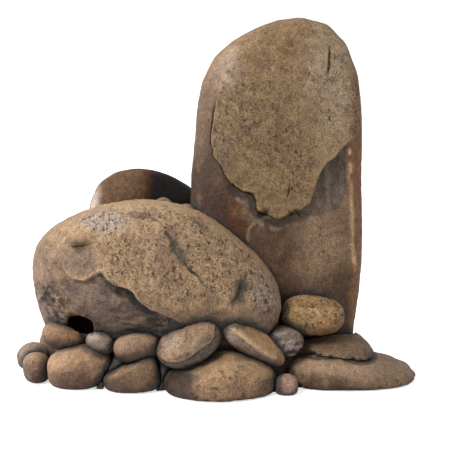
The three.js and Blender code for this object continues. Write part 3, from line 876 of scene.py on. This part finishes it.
def cave_cracks(stone):
    """Two cracks over the crest, a long crack that widens into a grey gash, and a grey recess."""
    for key, seed in (("crest", 35), ("crest_right", 36)):
        line = groove(stone, key, 0.7, 0.6, seed, 0.45, 0.9, 0)
        stone.colour((92, 68, 54), line * 0.75)
    gap, share, _ = stone.lines["diagonal"].measure(*stone.wobbled(0.8, 7.0, 37))
    wide = 0.5 + 2.4 * band(share, 0.36, 0.26**2)
    gash = smooth(1.5, 0.5, gap / wide) * smooth(0.0, 0.08, share) * smooth(1.0, 0.9, share) * stone.front
    stone.height -= 0.55 * wide * band(gap, 0.0, wide**2) * stone.front * gash
    stone.colour((86, 83, 74), gash * 0.95)
    stone.crack(gap / 0.6 + 9.0 * (1.0 - gash) + 2.0 * smooth(0.3, -0.2, noise(stone.points, 6.0, 36)))
    recess = groove(stone, "recess", 2.0, 1.6, 38, 0.3, 1.8, 0)
    stone.colour((80, 74, 69), recess)


def cave_left(stone):
    """The dark, rough ground at the left end, round the small hole. Returns the roughest part."""
    u, w = stone.shares()
    shaded = smooth(0.16, 0.06, u + 0.03 * noise(stone.points, 9.0, 52)) * smooth(0.86, 0.7, w)
    stone.colour((122, 101, 87), shaded * 0.75)
    left = stone.spot(0.085, 0.48, 0.08, 0.13, 46, 0.6)
    pitted(stone, left, (3.4, 3.4, 2.6), 1.0, 0.9, 0, 47)
    stone.colour((150, 122, 102), stone.spot(0.05, 0.6, 0.035, 0.08, 54, 0.8) * 0.6)
    stone.colour((62, 50, 44), left * 0.6)
    round_hole = stone.spot(0.17, 0.32, 0.12, 0.10, 53, 0.8)
    stone.colour((60, 47, 40), round_hole * 0.65)
    streaks = rough(stone.points * (0.7, 1.0, 1.3), 3.0, 2, 55)
    worn = np.clip(left + 0.8 * round_hole, 0, 1)
    stone.height += 0.5 * streaks * worn
    stone.colour((34, 26, 22), worn * smooth(0.1, 0.45, -streaks) * 0.8)
    stone.colour((172, 148, 130), worn * smooth(0.1, 0.5, streaks) * 0.6)
    return left


def cave_right(stone):
    """A rough corner under the flake, and the whitish, pitted right end. Returns both."""
    corner = stone.spot(0.52, 0.37, 0.06, 0.06, 48, 0.5)
    pitted(stone, corner, (2.6, 2.6, 2.2), 0.9, 0.95, 0, 49)
    stone.colour((58, 50, 46), corner * 0.6)
    stone.colour((150, 138, 130), corner * smooth(0.15, 0.5, rough(stone.points, 2.6, 2, 56)) * 0.6)
    end = stone.spot(0.93, 0.5, 0.07, 0.16, 50, 0.6)
    stone.colour((176, 156, 144), end * 0.85)
    pitted(stone, end, (2.0, 2.0, 5.0), 0.6, 0.6, -4, 51)
    return corner, end


def cave_boulder(material):
    stone = Stone("cave_boulder", 2.0, 80, hollow=True, lines=CAVE_LINES)
    weather(stone, 0.8, 0.3, 0.4, 2)
    base_coat(stone, (174, 146, 114), (174, 146, 115), (108, 90, 77), 0.85, 2)
    signed = cave_shelf(stone)
    cave_ledge(stone)
    cave_cracks(stone)
    u, w = stone.shares()
    face = 0.85 * smooth(0.36, 0.5, u) * smooth(-0.5, 0.5, signed) * smooth(0.42, 0.55, w) * stone.front
    pitted(stone, face, (3.0, 3.0, 5.0), 0.6, 0.6, -8, 41)
    whitish = stone.spot(0.28, 0.915, 0.13, 0.055, 43, 0.6)
    stone.colour((176, 162, 154), whitish * 0.9)
    speckled = np.clip(whitish + stone.spot(0.37, 0.74, 0.1, 0.14, 44, 0.6), 0, 1)
    pitted(stone, speckled, (2.2, 2.2, 2.4), 0.45, 0.8, 0, 45)
    left = cave_left(stone)
    corner, end = cave_right(stone)
    stone.colour((140, 113, 96), smooth(0.5, 0.36, w) * smooth(0.56, 0.64, u) * stone.front * 0.85)
    pits = 0.8 * face + speckled + left + corner + 0.8 * end + 0.25 * stone.front
    stone.marks["pits"] = np.clip(pits, 0, 1)
    back_marks(stone, 94)
    relief_paint(stone, OCHRE, UMBER, 0.3)
    crevice_coat(stone, 2, 4.5, 0.8)
    stone.finish(material)


def rear_boulder(material):
    """Smoother than the others, with a painted highlight at its left and painted deep shade at its right."""
    stone = Stone("rear_boulder", 2.2, 90, hollow=True, lines=REAR_LINES)
    weather(stone, 0.8, 0.12, 0.3, 3)
    base_coat(stone, (114, 90, 69), (104, 82, 66), (86, 67, 57), 0.5, 3)
    u, w = stone.shares()
    u = u + 0.02 * noise(stone.points, 16.0, 30)
    # Painted highlight on the upper left end, on what faces the front.
    painted_left_highlight = smooth(0.15, 0.05, u) * smooth(0.1, -0.5, stone.normals[:, 1]) * smooth(0.62, 0.8, w)
    stone.colour((218, 206, 200), painted_left_highlight * 0.85)
    back_marks(stone, 98)
    relief_paint(stone, OCHRE, UMBER, 0.12)
    crevice_coat(stone, 3)
    # Painted deep shade over the right half, on all but what faces the back.
    shaded = smooth(0.36, 0.54, u) * smooth(0.5, -0.2, stone.normals[:, 1]) * stone.outer
    stone.colour((44, 28, 14), shaded)
    for mark, kept in (("dry", 0.3), ("wash", 0.8), ("sheen", 1.0)):
        stone.marks[mark] *= kept * (1.0 - shaded)
    stone.finish(material)


# ---- The stones round the foot, and the bed under them ----

# Paint on each stone's top (with painted light), side and underside (with painted shade), and how pitted it
# is.
PEBBLE_PAINT = {
    "front_boulder": ((184, 151, 114), (130, 104, 82), (98, 78, 64), 0.5),
    "tilted_slab_stone": ((166, 136, 108), (112, 98, 88), (84, 82, 80), 0.5),
    "ridge_stone": ((196, 164, 126), (158, 134, 116), (92, 74, 62), 0.3),
    "wedge_stone": ((150, 122, 94), (104, 84, 68), (84, 66, 58), 0.3),
    "left_front_stone": ((184, 150, 118), (116, 91, 74), (92, 70, 62), 0.4),
    "left_end_stone": ((178, 146, 120), (108, 84, 70), (76, 60, 54), 0.5),
    "left_corner_stone": ((148, 126, 116), (92, 74, 68), (64, 52, 48), 0.4),
    "hole_stone": ((162, 128, 96), (110, 84, 70), (70, 54, 48), 0.5),
    "small_grey_stone": ((184, 166, 154), (118, 104, 96), (64, 54, 50), 0.3),
    "oval_stone": ((176, 147, 118), (90, 68, 58), (40, 28, 25), 0.3),
    "block_stone": ((194, 160, 112), (180, 144, 100), (156, 120, 86), 1.0),
    "gap_stone": ((152, 138, 128), (96, 82, 76), (60, 52, 48), 0.8),
    "tip_stone": ((190, 154, 140), (134, 104, 92), (84, 66, 60), 0.4),
    "flat_stone_lower": ((188, 158, 130), (76, 58, 46), (62, 47, 38), 0.4),
    "flat_stone_upper": ((130, 106, 82), (98, 78, 62), (66, 52, 42), 0.4),
}
PLAIN_PEBBLE = ((146, 118, 92), (106, 86, 72), (84, 68, 60), 0.4)

PEBBLE_LINES = {
    "tilted_slab_stone": {
        "rim": [
            (0.02, 0.30), (0.16, 0.18), (0.32, 0.20), (0.46, 0.27), (0.69, 0.49), (0.87, 0.67),
            (0.90, 0.88),
        ],
    },
    "ridge_stone": {
        "crest": [(0.12, 0.90), (0.28, 0.78), (0.48, 0.55), (0.66, 0.38), (0.82, 0.24)],
    },
}


def block_stone_marks(stone, seed):
    """Small pits all over."""
    pitted(stone, stone.front, (2.3, 2.3, 2.5), 0.6, 0.85, 0, seed + 5)


def gap_stone_marks(stone, seed):
    """Small pits and whitish streaks."""
    block_stone_marks(stone, seed)
    streaks = rough(stone.points * (0.7, 1.0, 1.4), 3.4, 2, seed + 7)
    stone.colour((196, 182, 176), smooth(0.05, 0.4, streaks) * stone.front * 0.7)


def tip_stone_marks(stone, seed):
    """Dirt at its left, and a pink spot."""
    u = stone.shares()[0] + 0.08 * noise(stone.points, 4.0, seed)
    stone.colour((84, 74, 70), smooth(0.42, 0.22, u) * 0.9)
    stone.colour((212, 178, 166), stone.spot(0.66, 0.55, 0.24, 0.3, seed, 0.9) * 0.45)


def flat_stone_lower_marks(stone, _seed):
    """Darker along its foot, paler at its thin end."""
    u, w = stone.shares()
    stone.colour((96, 75, 60), smooth(0.6, 0.25, w) * stone.front * 0.6)
    stone.colour((120, 98, 78), smooth(0.55, 0.8, u) * 0.7)


def tilted_slab_stone_marks(stone, seed):
    """A raised face with a worn rim, and the grey edge of the slab under it."""
    signed, _, below = edge(stone, "rim", (0.2, 1.0, 1.5, 1.5, 1.0, 0.3), 7.0, seed, 0.5)
    stone.colour((120, 114, 108), below * 0.9)
    stone.colour((60, 50, 42), band(signed, -0.5, 0.8) * stone.front * 0.7)
    stone.colour((190, 158, 122), band(signed, 1.2, 1.5) * stone.front * 0.5)
    stone.colour((172, 160, 148), stone.spot(0.2, 0.66, 0.2, 0.3, seed, 0.9) * 0.6)


def ridge_stone_marks(stone, seed):
    """A rubbed crest between an ochre face and a grey one."""
    signed, _, below = edge(stone, "crest", (0.0, 0.8, 1.1, 1.0, 0.5), 9.0, seed, 0.4, 1.0)
    stone.colour((128, 108, 98), below * smooth(-16.0, -1.0, signed) * 0.7)
    stone.colour((172, 132, 84), smooth(1.0, 4.0, signed) * stone.front * 0.6)
    stone.colour((214, 184, 148), band(signed, 0.3, 1.6) * stone.front * 0.8)
    stone.colour((180, 160, 150), stone.spot(0.14, 0.72, 0.12, 0.2, seed, 0.9) * 0.5)


def front_boulder_marks(stone, seed):
    """Pits that are longer across than up, and a dark left end."""
    pitted(stone, stone.front, (7.5, 5.0, 3.4), 0.7, 0.5, 0, seed + 6)
    u = stone.shares()[0] + 0.04 * noise(stone.points, 9.0, seed)
    stone.colour((66, 55, 50), smooth(0.33, 0.2, u) * 0.95)
    stone.marks["dry"] *= smooth(0.1, 0.4, u)


PEBBLE_MARKS = {
    "block_stone": block_stone_marks,
    "gap_stone": gap_stone_marks,
    "tip_stone": tip_stone_marks,
    "flat_stone_lower": flat_stone_lower_marks,
    "tilted_slab_stone": tilted_slab_stone_marks,
    "ridge_stone": ridge_stone_marks,
    "front_boulder": front_boulder_marks,
}


def seam_row(stone, seed):
    """The pale lip of a flat stone where it meets its neighbour, with a broken row of dark pits in it."""
    lip = smooth(5.0, 3.0, stone.gap) * smooth(0.25, 0.6, -stone.normals[:, 1])
    stone.colour((150, 128, 102), lip * 0.55)
    broken = rough(stone.points * (1.0, 0.5, 0.5), 2.4, 2, seed + 4)
    stone.colour(SOOT, lip * smooth(0.0, 0.25, broken) * smooth(3.2, 2.0, stone.gap) * 0.9)


def pebble(name, material, seed):
    """Any stone round the foot, with its own paint and marks. The flat stones are smoother than the rest."""
    low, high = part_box(name)
    size = (high - low).length * MM
    flat = name.startswith("flat")
    stone = Stone(name, 1.9 if size > 80 else 1.4, 130 if flat else 14, lines=PEBBLE_LINES.get(name))
    top, side, under, holes = PEBBLE_PAINT.get(name, PLAIN_PEBBLE)
    weather(stone, 0.5, 0.14, 0.4, seed)
    if flat:
        stone.height *= 0.35
    base_coat(stone, top, side, under, 0.9, seed)
    stone.marks["pits"] = np.full(len(stone.points), holes)
    where = holes * smooth(-0.3, 0.4, noise(stone.points, 12.0, seed))
    pitted(stone, where, (2.6, 2.6, 2.6), 0.4, 0.5, 0, seed + 1)
    # Painted shade on the sides that face right and down, away from the key lamp.
    painted_shade_side = stone.normals @ np.array([0.8, 0.0, -0.6]) + 0.2 * rough(stone.points, 12.0, 2, seed + 2)
    stone.colour(under, smooth(0.15, 0.75, painted_shade_side) * 0.75)
    if name in PEBBLE_MARKS:
        PEBBLE_MARKS[name](stone, seed)
    relief_paint(stone)
    crevice_coat(stone, seed, 2.2 if flat else 4.8, 0.3 if flat else 0.8)
    if flat:
        seam_row(stone, seed)
    stone.finish(material)


def resin_bed(material):
    """Dark, plain resin that shows only between the stones."""
    stone = Stone("resin_bed", 2.0, 4, finer=0)
    weather(stone, 0.3, 0.3, 0.3, 40)
    base_coat(stone, (104, 98, 92), (78, 72, 67), (56, 49, 44), 0.7, 40)
    crevice_coat(stone, 40)
    stone.finish(material)


# ---- Camera, floor and light ----


def camera():
    """Looks slightly down on the ornament's front."""
    data = bpy.data.cameras.new("camera")
    data.lens = CAMERA_LENS
    data.sensor_width = 36.0
    data.clip_end = 50.0
    obj = new_object("camera", data)
    back = Vector((0.0, -math.cos(CAMERA_TILT), math.sin(CAMERA_TILT)))
    obj.location = CAMERA_TARGET + back * CAMERA_DISTANCE
    obj.rotation_euler = (-back).to_track_quat("-Z", "Y").to_euler()
    bpy.context.scene.camera = obj


def floor():
    """A pale floor. It looks white to the camera, and lights the stones as a plain grey card would."""
    mesh = bpy.data.meshes.new("floor")
    corners = [(x * FLOOR_HALF, y * FLOOR_HALF, 0.0) for x, y in ((-1, -1), (1, -1), (1, 1), (-1, 1))]
    mesh.from_pydata(corners, [], [(0, 1, 2, 3)])
    material, n = new_material("floor")
    glow = n.times(n.add("LightPath").outputs["Is Camera Ray"], 0.62)
    white = (1, 1, 1, 1)
    card = {"Base Color": (0.82, 0.82, 0.82, 1), "Roughness": 0.9}
    n.surface({**card, "Emission Color": white, "Emission Strength": glow})
    mesh.materials.append(material)
    obj = new_object("floor", mesh)
    obj.location.z = -FLOOR_DROP


def lamp(name, at, size, power, tint=(1.0, 1.0, 1.0)):
    """A round soft lamp at a place in metres, aimed at the middle of the ornament."""
    data = bpy.data.lights.new(name, "AREA")
    data.shape = "DISK"
    data.size = size
    data.energy = power
    data.color = tint
    obj = new_object(name, data)
    obj.location = at
    obj.rotation_euler = (LAMP_AIM - obj.location).to_track_quat("-Z", "Y").to_euler()


def studio():
    """A soft white backdrop, a key lamp at the upper left, and weaker lamps at the left and the top."""
    scene = bpy.context.scene
    scene.view_settings.view_transform = "Standard"
    world = bpy.data.worlds.new("studio")
    world.use_nodes = True
    n = Nodes(world.node_tree)
    back = world.node_tree.nodes["Background"]
    back.inputs["Color"].default_value = (1, 1, 1, 1)
    seen = n.add("LightPath").outputs["Is Camera Ray"]
    world.node_tree.links.new(n.times_plus(seen, 0.55, 0.45), back.inputs["Strength"])
    scene.world = world
    lamp("key", (-1.0, -0.9, 1.5), 0.8, 26.0)
    lamp("left", (-1.4, 0.2, 0.55), 0.8, 16.0, tint=(1.0, 0.95, 0.92))
    lamp("top", (-0.2, 0.4, 1.6), 0.9, 8.0)


# ---- The ornament ----

camera()
floor()
studio()
boulder_paint = stone_material("boulder_paint", 1.0, -8.0)
# Less shine, so that the rear boulder's painted shade stays dark.
shaded_paint = stone_material("shaded_paint", 1.0, 0.0, 0.15)
pebble_paint = stone_material("pebble_paint", 0.9, 25.0)
bed_paint = stone_material("bed_paint", 1.2)
upright_stone(boulder_paint)
cave_boulder(boulder_paint)
rear_boulder(shaded_paint)
resin_bed(bed_paint)
NOT_PEBBLES = {"upright_stone", "cave_boulder", "rear_boulder", "resin_bed"}
for number, node in enumerate(sorted(set(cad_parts) - NOT_PEBBLES)):
    pebble(node, pebble_paint, 60 + 13 * number)
